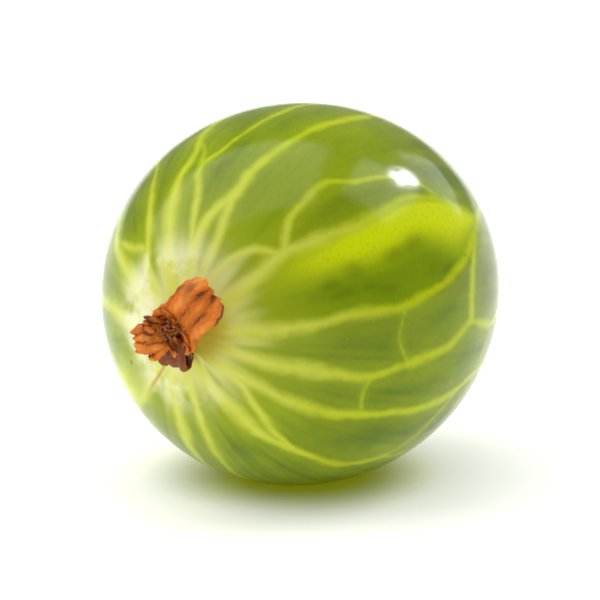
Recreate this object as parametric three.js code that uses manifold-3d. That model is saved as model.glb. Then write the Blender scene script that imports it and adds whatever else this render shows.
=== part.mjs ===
// A gooseberry as picked, lying on its side: the berry, the dried flower that stays on its blossom end,
// and the short stalk that it hung by. Millimetres, +Z up. The origin is the middle of the small flat spot
// that the berry rests on. The blossom end points to -X and the stalk to +X.
import * as THREE from "three";
import { mergeVertices } from "three/addons/utils/BufferGeometryUtils.js";
import Module from "manifold-3d";

const wasm = await Module();
wasm.setup();

const DEGREE = Math.PI / 180;

// --- Driving dimensions ---------------------------------------------------------------------------------

// The berry is a little longer than it is wide, and a little fuller towards the blossom end.
const HALF_LENGTH = 11.5;
const GIRTH_RADIUS = 10.25;
const FULLNESS = 0.03;
const SAG = 0.05; // how far it is pressed wider than it is tall
const LOBES = 0.04; // how far its three faint lobes stand out
const REST_TILT = 3 * DEGREE; // the fuller end lies higher
const SPOT_DEPTH = 0.32; // how far the flesh is pressed in where it rests

// The skin rises into a low collar under the flower and sinks a little round the stalk.
const COLLAR = { height: 0.45, radius: 1.35 };
const DIMPLE = { depth: 0.35, radius: 1.9 };

// The flower is a short tube, pressed flatter one way, with five sepals, five small petals,
// five stamens and one style.
const TUBE = { length: 1.5, base: 0.95, waist: 0.8, mouth: 0.95, bowl: 0.2 };
const TUBE_FLATTENING = { share: 0.5, wideTurn: 138 * DEGREE };
const FLOWER_LEAN = { slope: 0.33, turn: 62 * DEGREE };
const BLADE_THICKNESS = 0.6;
const FLOWER_GAP = 0.15; // between the collar and the foot of the tube

// Turns run clockwise from straight up, as seen when the blossom end faces the viewer. A lean is the angle
// between the blade and the flower's axis, at its root and at its tip: past 90 degrees it is folded back.
const SEPALS = [
  { turn: 43, length: 3.25, width: 2.45, lean: [56, 122], cup: 0.2, twist: 10, phase: 0.4 },
  { turn: 184, length: 1.8, width: 1.7, lean: [30, 215], cup: 0.3, twist: 10, phase: 3.1 },
  { turn: 228, length: 1.75, width: 1.2, lean: [34, 96], cup: 0.3, twist: -14, phase: 1.9 },
  { turn: 250, length: 2.05, width: 1.5, lean: [38, 88], cup: 0.3, twist: 12, phase: 4.6 },
  { turn: 280, length: 1.3, width: 0.9, lean: [26, 72], cup: 0.5, twist: 24, phase: 5.5 },
];
const PETALS = { turns: [22, 98, 170, 243, 318], length: 0.8, width: 0.85, lean: [10, 0], cup: 0.25 };
const STAMENS = { turns: [60, 131, 204, 275, 350], length: 1.3, radius: 0.2, anther: 0.27, lean: [0, 40] };
const STYLE = { turn: 215, length: 1.6, radius: 0.2, anther: 0.27, lean: [0, 36] };

const STALK = { length: 4.7, foot: 0.98, waist: 0.52, end: 0.68, droop: 0.055, swing: 0.03, gap: 0.15 };

// --- Bodies from points ---------------------------------------------------------------------------------

function geometryOf(points, faces) {
  const geometry = new THREE.BufferGeometry();
  geometry.setAttribute("position", new THREE.Float32BufferAttribute(points.flatMap((p) => p.toArray()), 3));
  geometry.setIndex(faces);
  return geometry;
}

// A closed body through rings of equal count, with one point that closes it at each end.
// The rings turn anticlockwise as seen from the last point.
function ringBody(firstTip, rings, lastTip) {
  const count = rings[0].length;
  const points = [firstTip, ...rings.flat(), lastTip];
  const at = (ring, k) => 1 + ring * count + (k % count);
  const last = rings.length - 1;
  const faces = [];
  for (let k = 0; k < count; k++) {
    faces.push(0, at(0, k + 1), at(0, k));
    faces.push(points.length - 1, at(last, k), at(last, k + 1));
    for (let ring = 0; ring < last; ring++) {
      faces.push(at(ring, k), at(ring, k + 1), at(ring + 1, k + 1));
      faces.push(at(ring, k), at(ring + 1, k + 1), at(ring + 1, k));
    }
  }
  return geometryOf(points, faces);
}

// A closed blade from two grids of points, its upper and its lower face, both split into triangles alike.
function bladeBody(upper, lower) {
  const rows = upper.length;
  const columns = upper[0].length;
  const points = [...upper.flat(), ...lower.flat()];
  const top = (i, j) => i * columns + j;
  const under = (i, j) => rows * columns + top(i, j);
  const faces = [];
  for (let i = 0; i < rows - 1; i++) {
    for (let j = 0; j < columns - 1; j++) {
      faces.push(top(i, j), top(i + 1, j), top(i + 1, j + 1), top(i, j), top(i + 1, j + 1), top(i, j + 1));
      faces.push(under(i, j), under(i + 1, j + 1), under(i + 1, j));
      faces.push(under(i, j), under(i, j + 1), under(i + 1, j + 1));
    }
  }
  const wall = (a, b, c, d) => faces.push(a, b, c, a, c, d);
  for (let i = 0; i < rows - 1; i++) {
    wall(top(i, 0), under(i, 0), under(i + 1, 0), top(i + 1, 0));
    wall(top(i + 1, columns - 1), under(i + 1, columns - 1), under(i, columns - 1), top(i, columns - 1));
  }
  for (let j = 0; j < columns - 1; j++) {
    wall(top(0, j + 1), under(0, j + 1), under(0, j), top(0, j));
    wall(top(rows - 1, j), under(rows - 1, j), under(rows - 1, j + 1), top(rows - 1, j + 1));
  }
  return geometryOf(points, faces);
}

function solidOf(geometry) {
  const merged = mergeVertices(geometry, 1e-4);
  return new wasm.Manifold(
    new wasm.Mesh({
      numProp: 3,
      vertProperties: merged.attributes.position.array,
      triVerts: new Uint32Array(merged.index.array),
    }),
  );
}

// Joins closed geometries into one body.
function fuse(geometries) {
  const mesh = geometries.map(solidOf).reduce((whole, piece) => whole.add(piece)).getMesh();
  const geometry = new THREE.BufferGeometry();
  geometry.setAttribute("position", new THREE.BufferAttribute(new Float32Array(mesh.vertProperties), 3));
  geometry.setIndex(new THREE.BufferAttribute(new Uint32Array(mesh.triVerts), 1));
  return geometry;
}

// --- The berry ------------------------------------------------------------------------------------------

const BERRY_ROWS = 44;
const BERRY_COLUMNS = 56;
const ROW_CROWDING = 0.45; // how much closer the rows stand near the two ends

// A point of the skin before it rests on anything. The lengthwise angle runs from 0 at the blossom end
// to 180 degrees at the stalk, and the turn goes round the berry, clockwise from straight up.
// The fruit's own frame has the blossom end at -X and the turn's zero at +Z.
function skinPoint(angle, turn) {
  const roundness = Math.sin(angle) ** 2;
  const stray = roundness * (LOBES * Math.cos(3 * turn + 2 * angle) - SAG * Math.cos(2 * turn));
  const radius = GIRTH_RADIUS * Math.sin(angle) * (1 + FULLNESS * Math.cos(angle)) + stray;
  const towardsBlossom =
    Math.cos(angle) > 0
      ? HALF_LENGTH * Math.cos(angle) + COLLAR.height * Math.exp(-((radius / COLLAR.radius) ** 4))
      : HALF_LENGTH * Math.cos(angle) + DIMPLE.depth * Math.exp(-((radius / DIMPLE.radius) ** 2));
  return new THREE.Vector3(-towardsBlossom, -radius * Math.sin(turn), radius * Math.cos(turn));
}

// Where the tilted berry would touch the ground, in the fruit's frame.
const floorNormal = new THREE.Vector3(-Math.sin(REST_TILT), 0, Math.cos(REST_TILT));
const lowestPoint = Array.from({ length: 721 }, (_, k) => skinPoint((k / 720) * Math.PI, Math.PI)).reduce(
  (lowest, point) => (point.dot(floorNormal) < lowest.dot(floorNormal) ? point : lowest),
);
const centreHeight = -lowestPoint.dot(floorNormal) - SPOT_DEPTH;

function pressFlat(point) {
  const height = point.dot(floorNormal) + centreHeight;
  return height < 0 ? point.addScaledVector(floorNormal, -height) : point;
}

function berryGeometry() {
  const rings = [];
  for (let row = 1; row < BERRY_ROWS; row++) {
    const share = row / BERRY_ROWS;
    const angle = Math.PI * share - (ROW_CROWDING / 2) * Math.sin(2 * Math.PI * share);
    const ring = [];
    for (let k = 0; k < BERRY_COLUMNS; k++) {
      ring.push(pressFlat(skinPoint(angle, (-2 * Math.PI * k) / BERRY_COLUMNS)));
    }
    rings.push(ring);
  }
  return ringBody(skinPoint(0, 0), rings.map((ring) => ring.toReversed()), skinPoint(Math.PI, 0));
}

// --- The dried flower, in its own frame: +Z out along the axis, +Y up, +X to the right of the viewer ----

const outwards = new THREE.Vector3(0, 0, 1);
const radial = (turn) => new THREE.Vector3(Math.sin(turn), Math.cos(turn), 0);

// A point on the tube, which is pressed flatter the further out it is.
function onTube(turn, radius, out) {
  const across = Math.cos(2 * (turn - TUBE_FLATTENING.wideTurn));
  const flattened = 1 + TUBE_FLATTENING.share * (out / TUBE.length) * across;
  return radial(turn).multiplyScalar(radius * flattened).addScaledVector(outwards, out);
}

// The tube's outline, from its foot to its mouth and down into the bowl: [distance out, radius].
const TUBE_OUTLINE = [
  [0, TUBE.base],
  [0.35, TUBE.waist + 0.06],
  [0.75, TUBE.waist],
  [1.25, TUBE.waist + 0.14],
  [TUBE.length, TUBE.mouth],
  [TUBE.length + 0.12, TUBE.mouth - 0.24],
  [TUBE.length - 0.3, TUBE.mouth - 0.55],
];

function tubeGeometry() {
  const count = 30;
  const rings = TUBE_OUTLINE.map(([out, radius]) =>
    Array.from({ length: count }, (_, k) => {
      const turn = (-2 * Math.PI * k) / count;
      const ribbed = 1 + 0.05 * (out / TUBE.length) * Math.cos(10 * turn + 1.5 * out);
      return onTube(turn, radius * ribbed, out);
    }),
  );
  const bowlFloor = new THREE.Vector3(0, 0, TUBE.length - TUBE.bowl);
  return ringBody(new THREE.Vector3(0, 0, 0), rings, bowlFloor);
}

// Points along a line that starts out at the first lean and bends over to the second.
function leaningLine(root, turn, length, [firstLean, lastLean], steps) {
  const line = [];
  const place = root.clone();
  for (let i = 0; i <= steps; i++) {
    const share = i / steps;
    const lean = (firstLean + (lastLean - firstLean) * share ** 0.8) * DEGREE;
    const along = radial(turn).multiplyScalar(Math.sin(lean)).addScaledVector(outwards, Math.cos(lean));
    const inner = radial(turn).multiplyScalar(-Math.cos(lean)).addScaledVector(outwards, Math.sin(lean));
    line.push({ share, place: place.clone(), along, inner });
    place.addScaledVector(along, length / steps);
  }
  return line;
}

// A blade of the flower: widest before its middle, blunt at the tip, cupped, twisted and crumpled.
function bladeGeometry(blade) {
  const { root, turn, length, width, lean, cup, twist = 0, phase = 0, steps = 9, across = 6 } = blade;
  const upper = [];
  const lower = [];
  for (const { share, place, along, inner } of leaningLine(root, turn, length, lean, steps)) {
    const flare = 0.15 * share + 0.25 * (1 - share) ** 2;
    const halfWidth = (width / 2) * (0.95 + flare - 0.32 * share ** 8);
    const side = inner.clone().cross(along).applyAxisAngle(along, twist * DEGREE * share);
    const face = along.clone().cross(side);
    const rows = [[], []];
    for (let j = 0; j <= across; j++) {
      const v = (2 * j) / across - 1;
      const crumple = 0.13 * share * Math.sin(4.2 * v + 5 * share + phase) * Math.cos(6 * share + 2 * phase);
      const rise = cup * halfWidth * v * v + crumple;
      const ragged = 1 + 0.1 * Math.sin(9 * share + 3 * phase + (v > 0 ? 1.4 : 0));
      const middle = place.clone().addScaledVector(side, v * halfWidth * ragged).addScaledVector(face, rise);
      rows[0].push(middle.clone().addScaledVector(face, BLADE_THICKNESS / 2));
      rows[1].push(middle.clone().addScaledVector(face, -BLADE_THICKNESS / 2));
    }
    upper.push(rows[0]);
    lower.push(rows[1]);
  }
  return bladeBody(upper, lower);
}

// A thread of the flower with a thicker end.
function threadGeometry({ root, turn, length, radius, anther, lean }) {
  const steps = 6;
  const sides = 6;
  const line = leaningLine(root, turn, length, lean, steps);
  const rings = line.map(({ share, place, along, inner }) => {
    const side = inner.clone().cross(along);
    const r = share > 0.7 ? anther * Math.sqrt(1 - ((share - 0.85) / 0.22) ** 2) : radius;
    return Array.from({ length: sides }, (_, k) => {
      const round = (2 * Math.PI * k) / sides;
      const sideways = place.clone().addScaledVector(side, -r * Math.cos(round));
      return sideways.addScaledVector(inner, -r * Math.sin(round));
    });
  });
  return ringBody(line[0].place, rings, line[steps].place);
}

function flowerGeometry() {
  const sepals = SEPALS.map((sepal) => {
    const turn = sepal.turn * DEGREE;
    return bladeGeometry({ ...sepal, turn, root: onTube(turn, TUBE.mouth - 0.45, TUBE.length - 0.45) });
  });
  const petals = PETALS.turns.map((degrees, k) => {
    const turn = degrees * DEGREE;
    const root = onTube(turn, TUBE.mouth - 0.6, TUBE.length - 0.5);
    return bladeGeometry({ ...PETALS, turn, root, phase: k, steps: 4, across: 3 });
  });
  const stamens = STAMENS.turns.map((degrees, k) => {
    const turn = degrees * DEGREE;
    const lean = [STAMENS.lean[0], STAMENS.lean[1] + 9 * Math.sin(4 * k)];
    const root = onTube(turn, TUBE.mouth - 0.75, TUBE.length - 0.9);
    return threadGeometry({ ...STAMENS, turn, lean, root });
  });
  const styleTurn = STYLE.turn * DEGREE;
  const style = threadGeometry({ ...STYLE, turn: styleTurn, root: onTube(styleTurn, 0, TUBE.length - 1) });
  const flower = fuse([tubeGeometry(), ...sepals, ...petals, ...stamens, style]);
  const aside = radial(FLOWER_LEAN.turn).multiplyScalar(FLOWER_LEAN.slope);
  const leaning = new THREE.Matrix4().makeBasis(
    new THREE.Vector3(1, 0, 0),
    new THREE.Vector3(0, 1, 0),
    outwards.clone().add(aside),
  );
  return flower.applyMatrix4(leaning);
}

// --- The stalk, in its own frame: +Z out along the axis, +Y up ------------------------------------------

function stalkGeometry() {
  const steps = 12;
  const sides = 14;
  const rings = [];
  for (let i = 0; i <= steps; i++) {
    const share = i / steps;
    const out = STALK.length * share;
    const flare = (STALK.foot - STALK.waist) * Math.exp(-out / 0.55);
    const joint = (STALK.end - STALK.waist) * share ** 3;
    const radius = STALK.waist + flare + joint;
    const centre = new THREE.Vector3(STALK.swing * out ** 2, -STALK.droop * out ** 2, out);
    rings.push(
      Array.from({ length: sides }, (_, k) =>
        radial((-2 * Math.PI * k) / sides).multiplyScalar(radius).add(centre),
      ),
    );
  }
  const cutFace = new THREE.Vector3(
    STALK.swing * STALK.length ** 2,
    -STALK.droop * STALK.length ** 2,
    STALK.length + 0.08,
  );
  return ringBody(new THREE.Vector3(0, 0, 0), rings, cutFace);
}

// --- The fruit ------------------------------------------------------------------------------------------

function mesh(name, geometry, colour, roughness) {
  const material = new THREE.MeshStandardMaterial({ color: colour, roughness, metalness: 0 });
  const made = new THREE.Mesh(geometry, material);
  made.name = name;
  return made;
}

const berry = mesh("berry", berryGeometry(), "#86a021", 0.3);

// Turns a piece from its own frame to face along X, with its up side up.
function face(piece, x, sign) {
  const out = new THREE.Vector3(sign, 0, 0);
  const up = new THREE.Vector3(0, 0, 1);
  const right = up.clone().cross(out);
  piece.quaternion.setFromRotationMatrix(new THREE.Matrix4().makeBasis(right, up, out));
  piece.position.x = x;
}

const driedFlower = mesh("dried_flower", flowerGeometry(), "#b4581f", 0.85);
face(driedFlower, -(HALF_LENGTH + COLLAR.height + FLOWER_GAP), -1);

const stalk = mesh("stalk", stalkGeometry(), "#4d6b1c", 0.6);
face(stalk, HALF_LENGTH - DIMPLE.depth + STALK.gap, 1);

const fruit = new THREE.Group();
fruit.rotation.y = REST_TILT;
const spotMiddle = lowestPoint.clone().applyAxisAngle(new THREE.Vector3(0, 1, 0), REST_TILT);
fruit.position.set(-spotMiddle.x, 0, centreHeight);
fruit.add(berry, driedFlower, stalk);

const part = new THREE.Group();
part.add(fruit);

export default part;
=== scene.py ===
# %% [markdown]
# # A gooseberry, as picked
# A gooseberry is a soft, juicy berry with a thin, shiny, half-clear skin. It lies on its side on a small flat
# spot. One end carries the dried-up flower, and the other end has the short stalk that it hung by.
# Every surface here is worked out from formulas on whole numpy arrays, and the colours are shader nodes that
# read what those formulas leave on the mesh. Lengths are in millimetres until a mesh is made.

import bpy
import numpy as np
from mathutils import Matrix, Vector


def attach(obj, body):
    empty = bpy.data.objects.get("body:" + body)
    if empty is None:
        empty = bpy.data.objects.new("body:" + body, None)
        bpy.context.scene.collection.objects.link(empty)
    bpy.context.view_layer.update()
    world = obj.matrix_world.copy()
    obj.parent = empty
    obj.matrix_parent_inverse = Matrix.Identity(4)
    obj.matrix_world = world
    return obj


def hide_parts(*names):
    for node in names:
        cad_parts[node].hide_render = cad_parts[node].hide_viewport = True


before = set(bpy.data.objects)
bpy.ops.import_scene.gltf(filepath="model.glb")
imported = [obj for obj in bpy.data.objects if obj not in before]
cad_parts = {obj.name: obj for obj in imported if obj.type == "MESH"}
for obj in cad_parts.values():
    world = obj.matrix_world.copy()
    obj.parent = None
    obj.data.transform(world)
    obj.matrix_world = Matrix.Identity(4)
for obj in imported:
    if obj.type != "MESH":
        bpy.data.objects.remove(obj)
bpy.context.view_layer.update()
print("nodes:", sorted(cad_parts))

# %% [markdown]
# ## The fruit's form
# A real berry is nearly an ellipsoid, but it is a little fuller towards the blossom end, its skin rises to a
# low collar under the flower and sinks a little round the stalk, and it is never perfectly round. A sculpted
# sphere could give that, but a formula gives the same form at any fineness, and the veins can be laid out on
# it by two angles: the turn round the fruit, and the angle from the blossom end to the stalk.

# %% Driving dimensions
# In millimetres, apart from the fullness, which is a share, and the tilt, which is an angle.
MM = 0.001
HALF_LENGTH = 11.5
GIRTH_RADIUS = 10.25
FULLNESS = 0.03
SAG = 0.05
LOBES = 0.04
REST_TILT = np.radians(3)
SPOT_DEPTH = 0.32
COLLAR_HEIGHT = 0.45
COLLAR_RADIUS = 1.35
DIMPLE_DEPTH = 0.35
DIMPLE_RADIUS = 1.9


# %% The skin as a function of two angles
def skin(angle, turn):
    """A point of the skin in the fruit's own frame, with the blossom end at -X and a turn of zero at +Z.

    Lengthwise it lies at half the length times the cosine of the angle, plus a bell-shaped collar at the
    blossom end or dimple at the stalk. Its distance from the axis is the girth radius times the sine of the
    angle, a little more towards the blossom end, plus two gentle waves round the fruit: one makes it wider
    than it is tall, and one gives it three faint lobes."""
    stray = (LOBES * np.cos(3 * turn + 2 * angle) - SAG * np.cos(2 * turn)) * np.sin(angle) ** 2
    radius = GIRTH_RADIUS * np.sin(angle) * (1 + FULLNESS * np.cos(angle)) + stray
    collar = COLLAR_HEIGHT * np.exp(-((radius / COLLAR_RADIUS) ** 4))
    dimple = DIMPLE_DEPTH * np.exp(-((radius / DIMPLE_RADIUS) ** 2))
    along = HALF_LENGTH * np.cos(angle) + np.where(np.cos(angle) > 0, collar, dimple)
    return np.stack([-along, -radius * np.sin(turn), radius * np.cos(turn)], axis=-1)


# %% How it lies
def tilt(points):
    """Turns points about Y, so that the blossom end lies higher by the rest tilt."""
    x, y, z = np.moveaxis(points, -1, 0)
    across, upright = np.cos(REST_TILT), np.sin(REST_TILT)
    return np.stack([x * across + z * upright, y, z * across - x * upright], axis=-1)


# The lowest point of the underside is looked for in steps of a quarter of a degree.
underside = tilt(skin(np.linspace(0, np.pi, 721), np.pi))
lowest = underside[underside[:, 2].argmin()]
SETTLE = np.array([-lowest[0], 0, -lowest[2] - SPOT_DEPTH])


def settle(points):
    """Takes points from the fruit's frame to where the fruit lies."""
    return tilt(points) + SETTLE


print("centre of the fruit:", np.round(SETTLE, 3), "mm")

# %% [markdown]
# ## Meshes from grids
# A grid of points needs only its corner numbers to become a mesh, and a closed body is a stack of rings with
# a point at each end. These helpers count the corners as whole arrays, so a finer grid costs no more code.


# %% Corner numbers
def grid_quads(rows, columns, closed=False):
    """The corners of each cell of a grid of points that are counted row by row. A closed grid's last column
    joins its first."""
    row, column = np.meshgrid(np.arange(rows - 1), np.arange(columns - (not closed)), indexing="ij")
    beside = (column + 1) % columns
    corners = [(row, column), (row, beside), (row + 1, beside), (row + 1, column)]
    return np.stack([r * columns + c for r, c in corners], axis=-1).reshape(-1, 4)


def closed_body(rings, first_tip, last_tip):
    """The points and faces of a body through rings of points, closed by a point at each end."""
    rows, columns, _ = rings.shape
    points = np.concatenate([rings.reshape(-1, 3), [first_tip, last_tip]])
    ring = np.arange(columns)
    beside = np.roll(ring, -1)
    last_ring = (rows - 1) * columns
    first_fan = np.stack([beside, ring, np.full(columns, rows * columns)], axis=-1)
    last_fan = np.stack([ring + last_ring, beside + last_ring, np.full(columns, rows * columns + 1)], axis=-1)
    return points, [*grid_quads(rows, columns, closed=True).tolist(), *first_fan.tolist(), *last_fan.tolist()]


# %% A piece of the fruit
def new_object(name, data):
    """Puts an object with this mesh, lamp or camera in the scene."""
    made = bpy.data.objects.new(name, data)
    bpy.context.scene.collection.objects.link(made)
    return made


def add_piece(name, node, bodies, attributes=None):
    """Joins bodies in one smooth mesh that stands for a node. Each body is its points, in millimetres, and
    its faces, and each attribute is a value for every point."""
    starts = np.cumsum([0] + [len(points) for points, _ in bodies])
    points = np.concatenate([points for points, _ in bodies]) * MM
    faces = [[corner + start for corner in face] for (_, body), start in zip(bodies, starts) for face in body]
    mesh = bpy.data.meshes.new(name)
    mesh.from_pydata(points, [], faces)
    mesh.shade_smooth()
    for label, values in (attributes or {}).items():
        layer = mesh.attributes.new(label, "FLOAT", "POINT")
        layer.data.foreach_set("value", np.asarray(values, np.float32).ravel())
    piece = new_object(name, mesh)
    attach(piece, "root")
    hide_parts(node)
    print(name, len(points), "points", len(faces), "faces")
    return piece


# %% [markdown]
# ## The veins
# The vessels that fed the fruit run under the skin from the blossom end to the stalk. Sixteen of them leave
# the blossom end. Some fork, some join, and thin ones link two neighbours. Drawing them as a texture would
# blur them, so each is a line on the skin, given by a few points as turn and angle in degrees. The turn runs
# clockwise from straight up, facing the blossom end, and the angle from the blossom end to the stalk.
# On two opposite sides, a pair of them borders the placenta, the pale flesh inside that the seeds hang from.

# %% Where the veins run
PLACENTA_EDGES = [
    (
        [(54, 9), (51, 20), (46, 35), (49, 44), (51, 58), (50, 76), (54, 92), (62, 107)],
        [(84, 9), (86, 24), (84, 36), (81, 48), (82, 62), (78, 76), (73, 90), (62, 107)],
    ),
    (
        [(214, 9), (217, 22), (220, 32), (223, 44), (227, 62), (229, 82), (232, 100), (235, 117)],
        [(261, 9), (263, 19), (268, 27), (270, 46), (268, 62), (263, 76), (256, 90), (245, 106), (235, 117)],
    ),
]
MAIN_VEINS = [
    [(62, 107), (56, 125), (50, 150), (50, 171)],
    [(235, 117), (231, 138), (228, 155), (229, 171)],
    [(207, 9), (200, 18), (195, 29), (193, 45), (193, 60), (190, 78), (184, 100)],
    [(-70, 9), (-68, 20), (-65, 30), (-64, 44), (-61, 56), (-64, 80), (-72, 110), (-70, 140), (-62, 171)],
    [(-27, 9), (-24, 22), (-24, 44), (-20, 57), (-23, 68), (-24, 84), (-27, 105), (-35, 135), (-30, 171)],
    [(-4, 9), (-4, 20), (-1, 31), (8, 41), (9, 52), (12, 68), (15, 85), (15, 100), (12, 130), (14, 171)],
    [(107, 9), (108, 24), (105, 40), (105, 55), (100, 68), (96, 82), (91, 92)],
    [(91, 92), (94, 101), (95, 112), (90, 130), (84, 150), (86, 171)],
    [(134, 9), (126, 21), (125, 33), (123, 46), (120, 60), (114, 92), (111, 104), (114, 130), (117, 171)],
    [(164, 9), (157, 17), (151, 26), (150, 37), (146, 52), (144, 68), (139, 79)],
    [(65, 103), (73, 96), (82, 92), (91, 92)],
]
SIDE_VEINS = [
    [(22, 9), (25, 20), (33, 29), (46, 36)],
    [(12, 9), (13, 26), (10, 34), (8, 41)],
    [(-4, 20), (-9, 36), (-14, 49), (-8, 57), (-5, 67), (-2, 84), (2, 108), (12, 125)],
    [(189, 9), (181, 17), (178, 27), (180, 42), (181, 58), (180, 80), (184, 100), (183, 130), (180, 171)],
    [(-60, 9), (-50, 20), (-42, 30), (-38, 40), (-38, 55), (-45, 70), (-55, 82), (-66, 90)],
    [(136, 9), (132, 21), (138, 29), (143, 38), (146, 50)],
    [(46, 36), (36, 43), (33, 51), (33, 60), (38, 67), (41, 78), (46, 85), (54, 92)],
]
LINKS = [
    [(-64, 44), (-55, 34), (-44, 28)],
    [(-21, 62), (-16, 57), (-14, 49)],
    [(82, 65), (92, 63), (101, 66)],
    [(105, 55), (112, 55), (120, 58)],
    [(139, 79), (132, 84), (123, 88), (114, 93)],
    [(139, 79), (141, 98), (147, 120), (150, 171)],
    [(15, 100), (26, 108), (40, 112), (57, 121)],
    [(112, 100), (103, 105), (95, 109)],
    [(-27, 105), (-10, 112), (2, 108)],
    [(-71, 108), (-60, 118), (-48, 120), (-33, 128)],
    [(147, 120), (160, 114), (172, 116), (184, 113)],
    [(-45, 70), (-34, 76), (-24, 84)],
    [(-129, 128), (-108, 123), (-92, 134), (-71, 137)],
    [(141, 98), (128, 99), (112, 103)],
]


# %% Smooth lines through the points
def rounded(corners, samples=10):
    """Points along a smooth line through the corners: between two of them, each coordinate follows the cubic
    that leaves one and reaches the other in the direction of the corners on either side."""
    given = np.array(corners, float)
    padded = np.vstack([2 * given[0] - given[1], given, 2 * given[-1] - given[-2]])
    before, start, end, after = padded[:-3], padded[1:-2], padded[2:-1], padded[3:]
    share = np.linspace(0, 1, samples, endpoint=False)[:, None, None]
    bend = before - 2.5 * start + 2 * end - 0.5 * after
    twist = 1.5 * (start - end) + 0.5 * (after - before)
    curve = start + 0.5 * share * (end - before) + share**2 * bend + share**3 * twist
    return np.vstack([np.swapaxes(curve, 0, 1).reshape(-1, 2), given[-1]])


# %% A vein on the skin
WIDTH_ANGLES = (12, 35, 90, 171)


def line_on_skin(corners, seed, widths, fading):
    """A vein's points on the skin and its half width at each, in millimetres.

    The line wavers by up to half a degree, as all grown lines do. Its half width follows the angle from the
    blossom end between the given ones, with a slow swelling of its own, and both are sums of sines of the
    angle or the turn. A fading vein thins out over its last fifth."""
    turn, angle = np.radians(rounded(corners)).T
    phase = np.random.default_rng(seed).uniform(0, 2 * np.pi, 4)
    half_widths = np.interp(np.degrees(angle), WIDTH_ANGLES, widths)
    swelling = 1 + 0.16 * np.sin(9 * angle + phase[3]) + 0.08 * np.sin(23 * angle + phase[0])
    thinning = np.interp(np.linspace(0, 1, len(turn)), (0.8, 1), (1, 1 - fading))
    half_widths = half_widths * swelling * thinning
    turn = turn + 0.007 * np.sin(11 * angle + phase[0]) + 0.003 * np.sin(27 * angle + phase[1])
    angle = angle + 0.005 * np.sin(13 * turn + phase[2])
    return skin(angle, turn), half_widths


# %% How far each point of the skin is from the nearest vein
WIDEST_GAP = 20.0


def gap_to_lines(points, lines):
    """For each point, the smallest ratio of its distance from a line to that line's half width, plus the
    line's depth, which makes a vein that lies deeper under the skin fainter."""
    gap = np.full(len(points), WIDEST_GAP, np.float32)
    for line, half_widths, depth in lines:
        for start, end, half_width in zip(line[:-1], line[1:], half_widths):
            along = end - start
            share = np.clip((points - start) @ along / (along @ along), 0, 1)
            away = points - start - share[:, None] * along
            np.minimum(gap, np.sqrt(np.einsum("ij,ij->i", away, away)) / half_width + depth, out=gap)
    return gap


# %% The berry's grid
BERRY_ROWS = 216
BERRY_COLUMNS = 416
ROW_CROWDING = 0.3

# The rows lie closer together towards both ends, and the lowest points are pressed flat on the table.
row_share = np.arange(1, BERRY_ROWS) / BERRY_ROWS
row_angle = np.pi * row_share - ROW_CROWDING / 2 * np.sin(2 * np.pi * row_share)
column_turn = 2 * np.pi * np.arange(BERRY_COLUMNS) / BERRY_COLUMNS
angle, turn = np.meshgrid(row_angle, column_turn, indexing="ij")
grown = skin(angle, turn)
rested = settle(grown)
rested[..., 2] = np.maximum(rested[..., 2], 0)
berry_points, berry_faces = closed_body(rested, settle(skin(0, 0)), settle(skin(np.pi, 0)))
berry_angle = np.append(angle.ravel(), [0, np.pi])
berry_turn = np.append(turn.ravel(), [0, 0])
print("skin cells of about", round(2 * np.pi * GIRTH_RADIUS / BERRY_COLUMNS, 3), "mm")

# %% Measure the veins
MAIN_HALF_WIDTHS = (0.24, 0.29, 0.26, 0.16)
SIDE_HALF_WIDTHS = (0.18, 0.22, 0.19, 0.12)
LINK_HALF_WIDTHS = (0.19, 0.2, 0.19, 0.13)

# Each kind is its veins, their half widths in millimetres, how far they fade and how deep they lie.
placenta_borders = [edge for edges in PLACENTA_EDGES for edge in edges]
vein_kinds = [
    (placenta_borders + MAIN_VEINS, MAIN_HALF_WIDTHS, 0, 0),
    (SIDE_VEINS, SIDE_HALF_WIDTHS, 0.5, 0.2),
    (LINKS, LINK_HALF_WIDTHS, 0.2, 0.5),
]
vein_lines = [
    (*line_on_skin(corners, len(corners) + number, half_widths, fading), depth)
    for veins, half_widths, fading, depth in vein_kinds
    for number, corners in enumerate(veins)
]
skin_points = np.concatenate([grown.reshape(-1, 3), [skin(0, 0), skin(np.pi, 0)]]).astype(np.float32)
vein_gap = gap_to_lines(skin_points, vein_lines)
print(len(vein_lines), "veins;", f"{(vein_gap < 1).mean():.1%} of the skin's points lie on one")

# %% [markdown]
# ## What shows through the skin
# Between the veins the flesh is a clear olive green, in lengthwise streaks. The placenta shows as a broad
# band: a strip of bright yellow-green along one border and over its far end, and beside it a darker, clearer
# green where the seeds lie. Round the flower the skin is pale and milky, in streaks that run out along the
# veins, with patches of whitish wax bloom, and the collar under the flower is golden. A thin rusty streak
# runs out from it, where a leaf has rubbed. Round the stalk there is a little pale cork, and one strip of the
# upper side is painted paler, as painted light where more light falls. Noise alone can't put these where they
# grow, so each is a value at every point of the skin, most often between nought and one, which the shader
# then reads. Angles from an end of the fruit are in degrees.


# %% Smooth steps, waves and bells
def ease(value, start, end):
    """Nought before the start and one after the end, with a smooth step between them."""
    share = np.clip((value - start) / (end - start), 0, 1)
    return share * share * (3 - 2 * share)


def waves(turn, counts, seed):
    """A wavy value between about -1 and 1 round the fruit: a sum of cosines with a whole count each."""
    phases = np.random.default_rng(seed).uniform(0, 2 * np.pi, len(counts))
    return sum(np.cos(count * turn + phase) for count, phase in zip(counts, phases)) / np.sqrt(len(counts))


def facing(turn, middle, width):
    """A bell at the middle turn, in degrees: e to the power of the cosine of the way to it, less one, over
    the width."""
    return np.exp((np.cos(turn - np.radians(middle)) - 1) / width)


# %% Bands over the placenta
# The step at a border is in shares of the way across, and the least width across is in radians.
BORDER_STEP = (-0.03, 0.1)
NARROWEST = 0.02


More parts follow.
